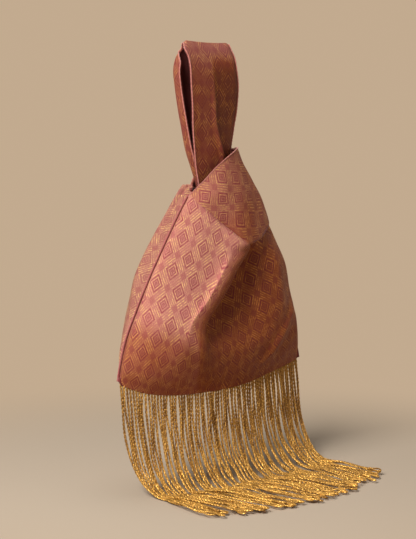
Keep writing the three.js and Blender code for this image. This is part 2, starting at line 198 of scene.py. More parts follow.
# Where the fringe's cords meet the floor and where they end, from left to right: place along the hem as
# a share, then x and y where the cord touches the floor, and x and y where it ends.
FRINGE_LAY = [
    (0.00, -116, -54, -123, -146),
    (0.12, -103, -58, -104, -150),
    (0.25, -72, -64, -66, -166),
    (0.40, -32, -69, -26, -170),
    (0.55, 8, -70, 10, -172),
    (0.70, 49, -68, 40, -174),
    (0.85, 91, -62, 76, -168),
    (1.00, 123, -56, 106, -158),
]

# Where along the hem the first cord hangs and over how much of it they spread, as shares
HEM_START = 0.015
HEM_SPAN = 0.965

# How a cord falls to the floor, as shares of its way down and of its way forward
CORD_FALL = ((0.22, 0.04), (0.5, 0.13), (0.74, 0.3), (0.9, 0.55), (0.975, 0.8))

# Where a cord is guided on the floor, as shares of its way there
CORD_RUN = (0.22, 0.45, 0.7, 1.0, 1.25)
FRINGE_SECTIONS = 4

# How many millimetres of cord make one unit of its UV map
CORD_PLACE_UNIT = 8.0

# The floor, the camera with its pitch in degrees, and the lamps: place, size, watts and colour
FLOOR_Z = -432.0
FLOOR_GAP = 0.3
FLOOR_RADIUS = 9000.0
FLOOR_SIDES = 96
FLOOR_FADE = (150.0, 600.0)
CAMERA_PLACE = (-1060.7, -1060.7, -100.0)
CAMERA_PITCH = 4.754
CAMERA_LENS = 100
CAMERA_FRAME = 36
ROOM_STRENGTH = 0.16
LIGHT_AIM = (0.0, 0.0, -0.25)
LIGHTS = (
    ("key", (-1.62, -0.42, 1.08), 1.1, 66, (1.0, 0.96, 0.9)),
    ("fill", (0.9, -2.0, 0.2), 1.6, 3, (1.0, 0.88, 0.76)),
    ("top", (0.5, 0.3, 1.7), 1.2, 9, (1.0, 0.97, 0.93)),
)

# The brocade's pattern in shares of a tile: rings and line bundles have an inner and an outer edge
OUTER_RING = (0.232, 0.28)
INNER_RING = (0.118, 0.155)
GOLD_RING = (0.178, 0.208)
GOLD_LINES = ((0.034, 0.076), (0.142, 0.184))
GOLD_LINE_END = 0.34
CROSSING_START = 0.36
KEY_SIZE = 0.06
TIES_PER_TILE = 15
THREADS_PER_TILE = 44

# The heights in metres at which the cord's painted shade, where it hangs under the bag, starts and is
# darkest, from the floor up
CORD_SHADE = (-0.428, -0.4)


def srgb(red, green, blue):
    """A colour given in 0 to 255 steps, as the shader's linear colour."""
    return tuple((c / 255) ** 2.2 for c in (red, green, blue)) + (1.0,)


# Colour pairs: rose, raspberry and gold where the brocade is lit, and rust, deep raspberry and warm gold,
# towards which its painted shade and shot-silk hue take it. Antique gold is the cord in its painted light,
# dark gold in its painted shade.
ROSE = srgb(178, 104, 104)
RUST = srgb(126, 46, 28)
RASPBERRY = srgb(146, 52, 70)
DEEP_RASPBERRY = srgb(112, 14, 42)
GOLD = srgb(240, 200, 132)
WARM_GOLD = srgb(206, 134, 62)
MAROON = srgb(120, 46, 44)
# Dark red for the painted shadow in the left seam's crevice
SEAM_DARK = srgb(88, 28, 26)
LIGHT_PINK = srgb(196, 122, 112)
ANTIQUE_GOLD = srgb(252, 198, 100)
DARK_GOLD = srgb(84, 42, 6)
FLOOR_BEIGE = srgb(178, 164, 148)
BACKDROP_BEIGE = srgb(193, 169, 142)
ROOM_LIGHT = (1.0, 0.92, 0.82, 1.0)
BLACK = (0.0, 0.0, 0.0, 1.0)

# The plain cloths: colour, roughness and sheen
PLAIN_CLOTHS = {
    "rolled_edge": (LIGHT_PINK, 0.5, 0.4),
    "seam_roll": (ROSE, 0.6, 0.0),
    # A dark tube that is painted shadow in the left seam's crevice
    "seam_painted_shadow": (SEAM_DARK, 0.7, 0.0),
    "lining": (MAROON, 0.6, 0.2),
    "thread": (LIGHT_PINK, 0.55, 0.2),
}

# Curves and cloth grids


def spline(points, positions):
    """Points of a smooth curve through the given ones, at positions counted from point to point."""
    points = np.asarray(points, float)
    last = len(points) - 1
    padded = np.concatenate([[2 * points[0] - points[1]], points, [2 * points[-1] - points[-2]]])
    cell = np.clip(np.floor(positions).astype(int), 0, last - 1)
    t = (np.asarray(positions) - cell).reshape((-1,) + (1,) * (points.ndim - 1))
    before, start, end, after = (padded[cell + step] for step in range(4))
    bend = 2 * before - 5 * start + 4 * end - after
    return start + 0.5 * t * (end - before + t * (bend + t * (3 * (start - end) + after - before)))


def resampled(grid, rows, columns):
    """A grid's points at other rows and columns, on smooth curves through the ones it has."""
    down = spline(grid, np.linspace(0, len(grid) - 1, rows))
    return spline(down.swapaxes(0, 1), np.linspace(0, grid.shape[1] - 1, columns)).swapaxes(0, 1)


def unit(vectors):
    """The vectors at length one."""
    return vectors / np.maximum(np.linalg.norm(vectors, axis=-1, keepdims=True), 1e-9)


def grid_normals(grid):
    """Unit normals of a grid whose rows go down and whose columns go right, as seen from outside."""
    return unit(np.cross(np.gradient(grid, axis=0), np.gradient(grid, axis=1)))


def smooth_step(value, low, high):
    """0 up to low, 1 from high on and a smooth rise between them."""
    t = np.clip((value - low) / (high - low), 0, 1)
    return t * t * (3 - 2 * t)


def inner(share, start, end):
    """1 between start and end, with a smooth fall to 0 at the shares 0 and 1."""
    return smooth_step(share, 0, start) * (1 - smooth_step(share, end, 1))


def shares(rows, columns):
    """How far across each column of a grid lies and how far down each row, from 0 to 1."""
    return np.linspace(0, 1, columns)[None, :], np.linspace(0, 1, rows)[:, None]


def arc_length(line):
    """How far along a line each of its points lies."""
    return np.concatenate([[0], np.cumsum(np.linalg.norm(np.diff(line, axis=0), axis=1))])


def along_line(line, run, steps):
    """Points of a line at given lengths along it, where run says how far along its own points lie."""
    return np.stack([np.interp(steps, run, line[:, i]) for i in range(3)], axis=-1)


def ripples(grid, seed, shortest, longest):
    """Soft irregular waves, between -1 and 1, for small creases in cloth."""
    random = np.random.default_rng(seed)
    total = np.zeros(grid.shape[:2])
    for _ in range(RIPPLE_WAVES):
        direction = unit(random.normal(size=3))
        length = random.uniform(shortest, longest)
        total += np.sin(grid @ direction * 2 * math.pi / length + random.uniform(0, 2 * math.pi))
    return total / RIPPLE_WAVES


def flatten(grid, rounds=500, ease=0.11):
    """Lays a cloth grid out flat, keeping its thread lengths, in millimetres."""
    middle = grid.shape[1] // 2
    middle_row = arc_length(grid[len(grid) // 2])
    flat = np.empty(grid.shape[:2] + (2,))
    for row, points in enumerate(grid):
        run = arc_length(points)
        flat[row, :, 0] = run + (middle_row[middle] - run[middle])
    flat[:, :, 1] = -arc_length(grid[:, middle])[:, None]
    every, but_last, but_first = slice(None), slice(None, -1), slice(1, None)
    links = [
        ((every, but_last), (every, but_first)),
        ((but_last, every), (but_first, every)),
        ((but_last, but_last), (but_first, but_first)),
        ((but_last, but_first), (but_first, but_last)),
    ]
    lengths = [np.linalg.norm(grid[a] - grid[b], axis=-1) for a, b in links]
    for _ in range(rounds):
        push = np.zeros_like(flat)
        for (a, b), length in zip(links, lengths):
            gap = flat[b] - flat[a]
            now = np.maximum(np.linalg.norm(gap, axis=-1), 1e-6)
            step = gap * ((now - length) / now)[..., None] * ease
            push[a] += step
            push[b] -= step
        flat += push
    return flat


def take_up_wedge(flat, angle, growth=0.1):
    """Turns the flat cloth right of the big fold about the fold's foot, as the fold takes up a wedge of it.

    The pattern also runs a little faster towards the hem.
    """
    share, down = shares(*flat.shape[:2])
    amount = smooth_step(share, 0.42 + 0.04 * down**2, 0.5 + 0.25 * down**4)
    pace = 1 / (1 - 0.12 * smooth_step(down, 0.45, 0.9))
    y = np.cumsum(np.diff(flat[..., 1], axis=0, prepend=flat[:1, :, 1]) * pace, axis=0)
    third = flat[:, [flat.shape[1] // 3], 0]
    x = third + (flat[..., 0] - third) * pace
    foot = np.array([x[-1, flat.shape[1] // 2], y[-1, flat.shape[1] // 2]])
    x, y = x - foot[0], y - foot[1]
    turn = math.radians(angle) * amount
    turned = np.stack([x * np.cos(turn) + y * np.sin(turn), y * np.cos(turn) - x * np.sin(turn)], axis=-1)
    return foot + turned / (1 + growth * amount)[..., None]


def pattern_places(grid, lattice, wedge=0.0, coarse=8):
    """Where each point of a grid lies on the flat cloth, in tiles along the pattern's two directions."""
    rows, columns = grid.shape[:2]
    flat = flatten(resampled(grid, max(rows // coarse, 6), max(columns // coarse, 6)))
    flat = resampled(flat, rows, columns)
    if wedge:
        flat = take_up_wedge(flat, wedge)
    angles = np.radians(lattice)
    return flat @ np.linalg.inv(np.array([np.cos(angles), np.sin(angles)]).T * PATTERN_TILE)


# Meshes


def new_object(name, vertices, faces, material, body=None, slot=None):
    """A smooth-shaded mesh object from points in millimetres, with its material and its body. The slot is not
    used.
    """
    mesh = bpy.data.meshes.new(name)
    faces = faces if isinstance(faces, list) else faces.tolist()
    mesh.from_pydata((np.asarray(vertices) * MM).tolist(), [], faces)
    mesh.polygons.foreach_set("use_smooth", np.ones(len(mesh.polygons), bool))
    mesh.materials.append(material)
    thing = bpy.data.objects.new(name, mesh)
    bpy.context.scene.collection.objects.link(thing)
    if body:
        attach(thing, body)
    return thing


def grid_faces(rows, columns, across=False):
    """The quads of a grid; across joins its last column to its first."""
    index = np.arange(rows * columns).reshape(rows, columns)
    if across:
        index = np.concatenate([index, index[:, :1]], axis=1)
    a, b, c, d = index[:-1, :-1], index[1:, :-1], index[1:, 1:], index[:-1, 1:]
    return np.stack([a, b, c, d], axis=-1).reshape(-1, 4)


def set_places(mesh, places):
    """Stores the flat-cloth places of the vertices as the mesh's UV map."""
    layer = mesh.uv_layers.new(name="UVMap")
    corner = np.empty(len(mesh.loops), int)
    mesh.loops.foreach_get("vertex_index", corner)
    layer.data.foreach_set("uv", places[corner].astype(np.float32).ravel())


def set_painted_shade_and_hue(mesh, painted_shade_and_hue):
    """Stores the painted shade and shot-silk hue at each vertex: how far the silk's ground has gone from rose
    towards rust, and above 1 how much darker it is.
    """
    attribute = mesh.attributes.new("painted_shade_and_hue", "FLOAT", "POINT")
    attribute.data.foreach_set("value", painted_shade_and_hue.astype(np.float32).ravel())


def cloth_object(name, grid, thickness, material, body, slot, places=None, painted_shade_and_hue=None):
    """A sheet of cloth with its own thickness, closed round its edges."""
    inside = grid - grid_normals(grid) * thickness
    rows, columns = grid.shape[:2]
    front = grid_faces(rows, columns)
    count = rows * columns
    index = np.arange(count).reshape(rows, columns)
    rim = np.concatenate([index[0], index[1:, -1], index[-1, -2::-1], index[-2:0:-1, 0]])
    after = np.roll(rim, -1)
    sides = np.stack([rim, after, after + count, rim + count], axis=-1)
    vertices = np.concatenate([grid.reshape(-1, 3), inside.reshape(-1, 3)])
    faces = np.concatenate([front, front[:, ::-1] + count, sides])
    thing = new_object(name, vertices, faces, material, body, slot)
    if places is not None:
        set_places(thing.data, np.concatenate([places.reshape(-1, 2)] * 2))
    if painted_shade_and_hue is not None:
        set_painted_shade_and_hue(thing.data, np.concatenate([painted_shade_and_hue.ravel()] * 2))
    return thing


def tube_mesh(path, radii, sides):
    """Points and quads of an open tube along a path, with turn-free rings."""
    tangent = unit(np.gradient(path, axis=0))
    side = unit(np.cross(tangent, TUBE_GUIDE))
    other = np.cross(tangent, side)
    angle = (np.arange(sides) * 2 * math.pi / sides)[:, None]
    ring = side[:, None] * np.cos(angle) + other[:, None] * np.sin(angle)
    points = path[:, None] + ring * np.broadcast_to(radii, len(path))[:, None, None]
    return points.reshape(-1, 3), grid_faces(len(path), sides, across=True)


def tube_object(name, path, radii, sides, material, body, slot):
    """A tube along a path, closed at both ends by a fan of triangles."""
    points, quads = tube_mesh(path, radii, sides)
    first, last = np.arange(sides), len(points) - sides + np.arange(sides)
    start, end = len(points), len(points) + 1
    caps = [[start, b, a] for a, b in zip(first.tolist(), np.roll(first, -1).tolist())]
    caps += [[end, a, b] for a, b in zip(last.tolist(), np.roll(last, -1).tolist())]
    vertices = np.concatenate([points, path[:1], path[-1:]])
    return new_object(name, vertices, quads.tolist() + caps, material, body, slot)


def joined(meshes):
    """The points and faces of many meshes as those of one."""
    starts = np.cumsum([0] + [len(points) for points, _ in meshes[:-1]])
    points = np.concatenate([points for points, _ in meshes])
    return points, np.concatenate([faces + start for (_, faces), start in zip(meshes, starts)])


# Materials


class Shader:
    """The nodes of a material or of the world, and short ways to add to them."""

    def __init__(self, owner):
        self.owner = owner
        owner.use_nodes = True
        self.tree = owner.node_tree

    def node(self, kind, inputs=None, **settings):
        """A new node with its inputs linked or set."""
        made = self.tree.nodes.new(kind)
        for key, value in settings.items():
            setattr(made, key, value)
        for key, value in (inputs or {}).items():
            self.put(value, made.inputs[key])
        return made

    def put(self, value, socket):
        """Links a socket to another node's output, or sets it to a plain value."""
        if isinstance(value, bpy.types.NodeSocket):
            self.tree.links.new(value, socket)
        else:
            socket.default_value = value

    def math(self, operation, first, second=0.0):
        return self.node("ShaderNodeMath", {0: first, 1: second}, operation=operation).outputs[0]

    def times(self, first, second):
        return self.math("MULTIPLY", first, second)

    def most(self, first, second):
        return self.math("MAXIMUM", first, second)

    def remap(self, value, low, high, to_low=0.0, to_high=1.0):
        """The value carried from one range to another and held within it."""
        return self.node("ShaderNodeMapRange", {0: value, 1: low, 2: high, 3: to_low, 4: to_high}).outputs[0]

    def band(self, value, low, high, soft=0.01):
        """1 where value is between low and high, with soft edges."""
        rise = self.remap(value, low - soft, low + soft)
        return self.math("SUBTRACT", rise, self.remap(value, high - soft, high + soft))

    def wave(self, value, crests):
        """Round ridges from 0 to 1, so many to each unit of the value."""
        return self.math("ABSOLUTE", self.math("SINE", self.times(value, math.pi * crests)))

    def noise(self, place, scale, detail=2.0):
        return self.node("ShaderNodeTexNoise", {"Vector": place, "Scale": scale, "Detail": detail}).outputs[0]

    def stretched_noise(self, place, scale):
        """Noise drawn out to streaks: scale is how fine it is along each axis."""
        return self.noise(self.node("ShaderNodeMapping", {"Vector": place, "Scale": scale}).outputs[0], 1.0)

    def flat_place(self):
        """The place on the flat cloth or along the cord."""
        return self.node("ShaderNodeUVMap", uv_map="UVMap").outputs[0]

    def split(self, place):
        return self.node("ShaderNodeSeparateXYZ", {0: place}).outputs

    def mix(self, share, first, second):
        made = self.node("ShaderNodeMix", data_type="RGBA")
        for value, socket in ((share, 0), (first, 6), (second, 7)):
            self.put(value, made.inputs[socket])
        return made.outputs[2]

    def bump(self, height, strength, distance):
        inputs = {"Height": height, "Strength": strength, "Distance": distance}
        return self.node("ShaderNodeBump", inputs).outputs[0]

    def set(self, **values):
        """Sets inputs of the principled shader by their names."""
        for key, value in values.items():
            self.put(value, self.tree.nodes["Principled BSDF"].inputs[key.replace("_", " ")])


def tile_place(shader):
    """The two coordinates across one pattern tile, from -0.5 to 0.5, and the same uncut."""
    uncut = shader.split(shader.flat_place())[:2]
    return [shader.math("SUBTRACT", shader.math("FRACT", place), 0.5) for place in uncut], uncut


def key_fret(shader, across, size):
    """The small hooked key in the middle of a lozenge: a ring with a notch at one side and a dot within."""
    p, q = across
    far = shader.most(shader.math("ABSOLUTE", p), shader.math("ABSOLUTE", q))
    ring = shader.band(far, size * 0.62, size, 0.006)
    notch = shader.times(shader.band(q, 0.0, size * 0.55, 0.006), shader.math("GREATER_THAN", p, 0.0))
    dot = shader.band(far, -1.0, size * 0.28, 0.006)
    return shader.most(shader.times(ring, shader.math("SUBTRACT", 1.0, notch)), dot)


def gold_lines(shader, across):
    """Bundles of parallel gold lines that run between the lozenges and stop at each crossing."""
    masks = []
    for along, beside in ((0, 1), (1, 0)):
        away = shader.math("SUBTRACT", 0.5, shader.math("ABSOLUTE", across[beside]))
        lines = shader.most(*(shader.band(away, *line, 0.008) for line in GOLD_LINES))
        open_part = shader.band(shader.math("ABSOLUTE", across[along]), -1.0, GOLD_LINE_END)
        masks.append(shader.times(lines, open_part))
    return shader.most(*masks)


def dashes(shader, uncut):
    """The weave's ties, which break each gold line into short floats, and small patches where the gold is
    fainter.
    """
    waves = [shader.math("SINE", shader.times(place, 2 * math.pi * TIES_PER_TILE)) for place in uncut]
    ties = shader.remap(shader.times(*waves), -0.75, 0.2, 0.5, 1.0)
    fainter = shader.remap(shader.noise(shader.flat_place(), 7.0), 0.38, 0.56, 0.12, 1.0)
    return shader.times(ties, fainter)


def glints(shader, dull):
    """Where the metal threads catch the light and where they lie dull, in soft patches."""
    return shader.remap(shader.noise(shader.flat_place(), 1.6, 3.0), 0.43, 0.56, dull, 1.0)


def woven_masks(shader, dull):
    """Where the silk figure and the gold floats lie, where line bundles cross, and the ribs of the weave."""
    across, uncut = tile_place(shader)
    middle = [shader.math("ABSOLUTE", place) for place in across]
    far = shader.most(*middle)
    rings = shader.most(shader.band(far, *OUTER_RING), shader.band(far, *INNER_RING))
    figure = shader.most(rings, key_fret(shader, across, KEY_SIZE))
    gold = shader.most(gold_lines(shader, across), shader.band(far, *GOLD_RING, 0.008))
    floats = shader.times(gold, shader.times(dashes(shader, uncut), glints(shader, dull)))
    crossing = shader.times(*(shader.band(place, CROSSING_START, 2.0, 0.02) for place in middle))
    ribs = shader.times(shader.math("ADD", *(shader.wave(place, THREADS_PER_TILE) for place in uncut)), 0.35)
    return figure, floats, crossing, ribs


def ground_colour(shader, painted_shade_and_hue, metal, speckled):
    """Silk going from rose to rust with its painted shade and shot-silk hue, with lighter streaks along the
    threads and metallic specks.
    """
    place = shader.flat_place()
    streaks = shader.stretched_noise(place, (3.0, 42.0, 1.0))
    speckle = shader.remap(shader.noise(place, 20.0), 0.38, 0.66)
    ground = shader.mix(painted_shade_and_hue, ROSE, RUST)
    ground = shader.mix(shader.times(streaks, 0.16), ground, shader.mix(painted_shade_and_hue, LIGHT_PINK, WARM_GOLD))
    return shader.mix(shader.times(speckle, speckled), ground, metal)


def brocade_material(name, depth=1.0, clear=0.9, speckled=0.22, dull=0.2):
    """Shot silk brocade: nested lozenges with a key, gold line bundles, fine weave and glints.

    Depth below 1 darkens the whole cloth as painted shade, and the painted shade stored on the mesh darkens
    it point by point above 1. Clear says how strongly the figure shows, speckled the specks, and dull the
    gold where it doesn't glint.
    """
    shader = Shader(bpy.data.materials.new(name))
    figure, floats, crossing, ribs = woven_masks(shader, dull)
    place = shader.flat_place()
    # Painted shade and shot-silk hue from the mesh; shade is the painted darkening
    painted = shader.node("ShaderNodeAttribute", attribute_name="painted_shade_and_hue").outputs["Fac"]
    shade = shader.remap(painted, 1.0, 2.0, 1.0 - depth, 1.0 - 0.5 * depth)
    # A random cloudy tone on top of the painted shade and hue
    cloudy = shader.math("SUBTRACT", shader.noise(place, 0.9, 3.0), 0.5)
    painted_shade_and_hue = shader.math("ADD", painted, shader.times(cloudy, 0.35))
    painted_shade_and_hue = shader.node("ShaderNodeClamp", {0: painted_shade_and_hue}).outputs[0]
    patchy = shader.remap(shader.noise(place, 5.0, 3.0), 0.36, 0.6, clear * 0.5, clear)
    silk = shader.mix(painted_shade_and_hue, RASPBERRY, DEEP_RASPBERRY)
    metal = shader.mix(painted_shade_and_hue, GOLD, WARM_GOLD)
    colour = ground_colour(shader, painted_shade_and_hue, metal, speckled)
    colour = shader.mix(shader.times(crossing, 0.3), colour, silk)
    colour = shader.mix(shader.times(figure, patchy), colour, silk)
    # Painted shade: the ground and the figure darken with it fully, the gold with less of it
    colour = shader.mix(shade, colour, BLACK)
    metal = shader.mix(shader.times(shade, 0.4), metal, BLACK)
    height = shader.math("ADD", ribs, shader.math("ADD", shader.times(figure, 0.6), floats))
    shader.set(
        Base_Color=shader.mix(shader.times(floats, 0.9), colour, metal),
        Metallic=shader.times(floats, 0.4),
        Roughness=shader.math("SUBTRACT", 0.5, shader.times(floats, 0.2)),
        Normal=shader.bump(height, 0.7, 0.0005),
        Specular_IOR_Level=0.3,
        Sheen_Weight=0.05,
        Sheen_Roughness=0.4,
        Sheen_Tint=LIGHT_PINK,
    )
    return shader.owner


def plain_cloth_material(name, colour, roughness, sheen):
    """Plain silk with a fine grain."""
    shader = Shader(bpy.data.materials.new(name))
    grain = shader.noise(shader.node("ShaderNodeTexCoord").outputs["Object"], 900.0)
    darker = tuple(c * 0.62 for c in colour[:3]) + (1.0,)
    shader.set(
        Base_Color=shader.mix(grain, darker, colour),
        Roughness=roughness,
        Specular_IOR_Level=0.2,
        Sheen_Weight=sheen,
        Normal=shader.bump(grain, 0.4, 0.0003),
    )
    return shader.owner


def cord_material():
    """Antique gold cord: yarns wound round each ply, brown between them as painted shade, with streaks of
    painted highlight along the cord, and darker where it hangs, as painted shade under the bag.
    """
    shader = Shader(bpy.data.materials.new("fringe_cord"))
    place = shader.flat_place()
    along, around = shader.split(place)[:2]
    # The yarns' ridges: as colour, painted light on their tops and painted shade between; they also drive the
    # bump
    yarn = shader.wave(shader.math("ADD", shader.times(along, 4.0), around), 1)
    # Painted highlights: long streaks of brighter gold along each cord
    streaks = shader.remap(shader.stretched_noise(place, (0.3, 1.9, 1.0)), 0.34, 0.62, 0.25, 1.0)
    painted_light = shader.times(shader.math("ADD", shader.times(yarn, 0.5), 0.5), streaks)
    # Painted shade where the cord hangs under the bag, by its height
    height = shader.split(shader.node("ShaderNodeTexCoord").outputs["Object"])[2]
    painted_light = shader.times(painted_light, shader.remap(height, *CORD_SHADE, 1.0, 0.55))
    shader.set(
        Base_Color=shader.mix(painted_light, DARK_GOLD, ANTIQUE_GOLD),
        Metallic=0.55,
        Roughness=0.32,
        Normal=shader.bump(yarn, 0.6, 0.0003),
    )
    return shader.owner


def seen_directly(shader):
    """1 for rays from the camera, and for those that metal and glass send on, else 0."""
    rays = shader.node("ShaderNodeLightPath").outputs
    sent_on = shader.most(rays["Is Glossy Ray"], rays["Is Transmission Ray"])
    return shader.most(rays["Is Camera Ray"], sent_on)


def floor_material():
    """A pale floor that takes the bag's shadow and goes over into the backdrop's colour further out."""
    shader = Shader(bpy.data.materials.new("stage_beige"))
    place = shader.node("ShaderNodeNewGeometry").outputs["Position"]
    level = shader.node("ShaderNodeVectorMath", {0: place, 1: (1.0, 1.0, 0.0)}, operation="MULTIPLY")
    away = shader.node("ShaderNodeVectorMath", {0: level.outputs[0]}, operation="LENGTH").outputs["Value"]
    near, far = (edge * MM for edge in FLOOR_FADE)
    fade = shader.node("ShaderNodeMapRange", {0: away, 1: near, 2: far}, interpolation_type="SMOOTHSTEP")
    share = shader.times(fade.outputs[0], seen_directly(shader))
    shader.set(
        Base_Color=shader.mix(share, FLOOR_BEIGE, BLACK),
        Roughness=0.9,
        Specular_IOR_Level=0.0,
        Emission_Color=BACKDROP_BEIGE,
        Emission_Strength=share,
    )
    return shader.owner


# The shapes of the cloth


def creased(grid, creases):
    """How far soft creases lift a grid: each has two ends in x and z, a half width and a height."""
    lift = np.zeros(grid.shape[:2])
    place = grid[..., [0, 2]]
    for start, end, width, height in creases:
        start, end = np.array(start, float), np.array(end, float)
        run = end - start
        along = (place - start) @ run / (run @ run)
        away = np.linalg.norm(place - start - np.clip(along, 0, 1)[..., None] * run, axis=-1)
        fade = smooth_step(along, -0.05, 0.2) * (1 - smooth_step(along, 0.75, 1.05))
        lift += height * np.exp(-((away / width) ** 2)) * fade
    return lift


def lifted(grid, normals, height):
    """A grid moved along its normals, point by point."""
    return grid + normals * height[..., None]


def front_grid():
    """The front panel: its net, its creases and a fine unrest that is stronger right of the fold."""
    grid = resampled(np.array(FRONT_NET, float), PANEL_ROWS, PANEL_COLUMNS)
    normals = grid_normals(grid)
    grid = lifted(grid, normals, creased(grid, FRONT_CREASES))
    share, down = shares(PANEL_ROWS, PANEL_COLUMNS)
    right = smooth_step(share, 0.42, 0.6)
    soft = ripples(grid, 11, 38, 90) * (0.8 + 1.4 * right) + ripples(grid, 12, 14, 30) * 0.28
    return lifted(grid, normals, soft * inner(share, 0.05, 0.95) * inner(down, 0.08, 0.96))


def back_grid():
    """The back panel: its net, gathers that run down from the short loop and a fine unrest."""
    grid = resampled(np.array(BACK_NET, float), PANEL_ROWS, PANEL_COLUMNS)
    share, down = shares(PANEL_ROWS, PANEL_COLUMNS)
    gathers = np.sin(share * 2 * math.pi * 7 + 0.8 * np.sin(share * 9)) * 2.2
    gathers = gathers * (1 - smooth_step(down, 0.1, 0.75))
    soft = ripples(grid, 21, 40, 95) * 2.0 + ripples(grid, 22, 14, 30) * 0.3 + gathers
    return lifted(grid, -grid_normals(grid), soft * inner(share, 0.07, 0.93) * inner(down, 0.06, 0.95))


def loop_grid():
    """The short loop, closed into a ring at the back of its left tip."""
    net = np.array([row + [row[0]] for row in LOOP_NET], float)
    grid = resampled(net, LOOP_ROWS, LOOP_COLUMNS)
    share, down = shares(LOOP_ROWS, LOOP_COLUMNS)
    soft = ripples(grid, 31, 22, 60) * 0.9
    return lifted(grid, grid_normals(grid), soft * inner(down, 0.15, 0.85) * inner(share, 0.04, 0.96))


def handle_rows():
    """The handle's rows from the front leg's foot over the top to the back leg's foot.

    Each holds the left edge, the right edge, y, z and how far the row belongs to the front leg.
    """
    rows = []
    for z, left, right, _, _, spread in reversed(HANDLE_LEGS):
        rows.append((left, right, -spread / 2, z, 1.0))
    rows.append((HANDLE_TOP_LEFT, HANDLE_TOP_RIGHT, -1.0, HANDLE_TOP_Z - 0.2, 0.4))
    rows.append((HANDLE_TOP_LEFT + 1, HANDLE_TOP_RIGHT, 2.0, HANDLE_TOP_Z - 0.3, 0.0))
    for z, _, _, left, right, spread in HANDLE_LEGS:
        rows.append((left, right, spread / 2, z, 0.0))
    return np.array(rows)


def pleat_at(z):
    """Where across the front leg the pleat lies at each height, and how deep it is there."""
    heights, places, depths = (np.array(column, float) for column in zip(*sorted(PLEAT)))
    return np.interp(z, heights, places), np.interp(z, heights, depths)


def pleat_setback(x, z):
    """How far back the front leg lies behind its pleat, after a small lip."""
    place, depth = pleat_at(z)
    behind = smooth_step(x - place, -0.5, 1.6) * depth * 0.7 + smooth_step(x - place, 0, 34) * depth * 0.9
    lip = np.exp(-(((x - place) + 2.5) / 3.5) ** 2) * depth * 0.35
    return behind - lip


def handle_grid():
    """The long handle in one run, from the foot of its back leg over the top to the foot of the front one."""
    rows = spline(handle_rows(), np.linspace(0, 2 * len(HANDLE_LEGS) + 1, HANDLE_ROWS))
    share, _ = shares(HANDLE_ROWS, HANDLE_COLUMNS)
    left, right, y, z, front = (rows[:, i, None] for i in range(5))
    on_front = np.clip(front, 0, 1)
    y = y + on_front * (pleat_setback(left + (right - left) * share, z) + smooth_step(share, 0.9, 1.0) * 2.4)
    side = BACK_LEG_SIDE * (1 - on_front) * smooth_step(-z, 4, 22) * (1 - 0.5 * smooth_step(-z, 105, 150))
    along = (share * (right - left + side) - side) / BACK_LEG_BEND
    x = left + BACK_LEG_BEND * np.log1p(np.exp(along))
    y = y - BACK_LEG_BEND * np.log1p(np.exp(-along)) * smooth_step(side, 0, 4)
    top = np.exp(-((z / 9.0) ** 2))
    corners = smooth_step(share, 0.93, 1.0) * 2.0 + (1 - smooth_step(share, 0.0, 0.09)) * 3.0
    z = z - top * (np.sin(share * math.pi) * 1.2 + corners)
    grid = np.stack([x, y, z], axis=-1)[::-1]
    return lifted(grid, grid_normals(grid), ripples(grid, 41, 18, 60) * 0.6)


# Painted shade and shot-silk hue of the cloth, point by point: 0 is rose where it is lit, 1 rust where it
# lies in shade or turns from the light, and above 1 it also darkens, as deeper painted shade


def front_painted_shade(grid):
    """Painted shade: rose on the lit plane, rust under its lower edge and right of the fold, where the cloth
    lies in shade, and darker still in the hollow just right of the fold.
    """
    x, z = grid[..., 0], grid[..., 2]
    share, _ = shares(*grid.shape[:2])
    right = smooth_step(share, 0.36, 0.48)
    below = smooth_step(-z - 0.36 * (x + 60), 274, 306)
    deep = smooth_step(share, 0.44, 0.56) * (1 - 0.6 * smooth_step(share, 0.75, 1.0))
    return np.maximum(right, below * 0.78) + deep * 0.3


def loop_painted_shade(grid):
    """Painted shade: rose at the left, where the light falls, warmer to the right, where less of it falls,
    and along the lower edge over the front panel's ridge, where shade lies in the crease.
    """
    _, down = shares(*grid.shape[:2])
    x = grid[..., 0]
    ridge = smooth_step(down, 0.5, 0.7) * (1 - smooth_step(x, 36, 54))
    return 0.36 + 0.36 * smooth_step(x, -10, 55) + 0.25 * ridge


def handle_painted_shade(grid):
    """Painted light and shade: rosier over the lit top fold than down the legs, and darkest behind the
    pleat, where the painted shade is deepest.
    """
    front = smooth_step(-grid[..., 1], -2, 4)
    down = smooth_step(-grid[..., 2], 4, 34)
    behind_pleat = smooth_step(grid[..., 0] - pleat_at(grid[..., 2])[0], -1, 3)
    return 0.7 - 0.25 * front + front * down * (0.4 + 0.75 * behind_pleat)


# Edges and stitches


def rolled_edge(name, line, body, material, radius=ROLLED_EDGE_RADIUS, scallop=EDGE_SCALLOP):
    """The finished edge of a strap: a thin roll with small scallops where the stitches draw it in."""
    run = arc_length(line)
    steps = np.linspace(0, run[-1], int(run[-1] / EDGE_STEP))
    swell = np.abs(np.sin(steps * math.pi / SCALLOP_PITCH + 0.9 * np.sin(steps * 0.21)))
    radii = radius * (1.05 - scallop + scallop * swell)
    return tube_object(name, along_line(line, run, steps), radii, 10, material, body, "brocade")


def stitches(name, line, outward, material, body):
    """Small hand stitches along a seam, bowed outward, as one mesh."""
    run = arc_length(line)
    bow = np.sin(np.linspace(0, math.pi, 5))[:, None]
    made = []
    for start in np.arange(STITCH_PITCH, run[-1] - STITCH_PITCH, STITCH_PITCH):
        steps = start + np.linspace(0, STITCH_PITCH * 0.55, 5)
        path = along_line(line, run, steps) + np.array(outward) * (0.1 + 0.3 * bow)
        made.append(tube_mesh(path, STITCH_RADIUS, 6))
    return new_object(name, *joined(made), material, body, "lining")


# The fringe


def hem_point(front, share):
    """A point on the bottom seam at a share of its length from left to right."""
    run = arc_length(front[-1])
    return along_line(front[-1], run, (HEM_START + share * HEM_SPAN) * run[-1])


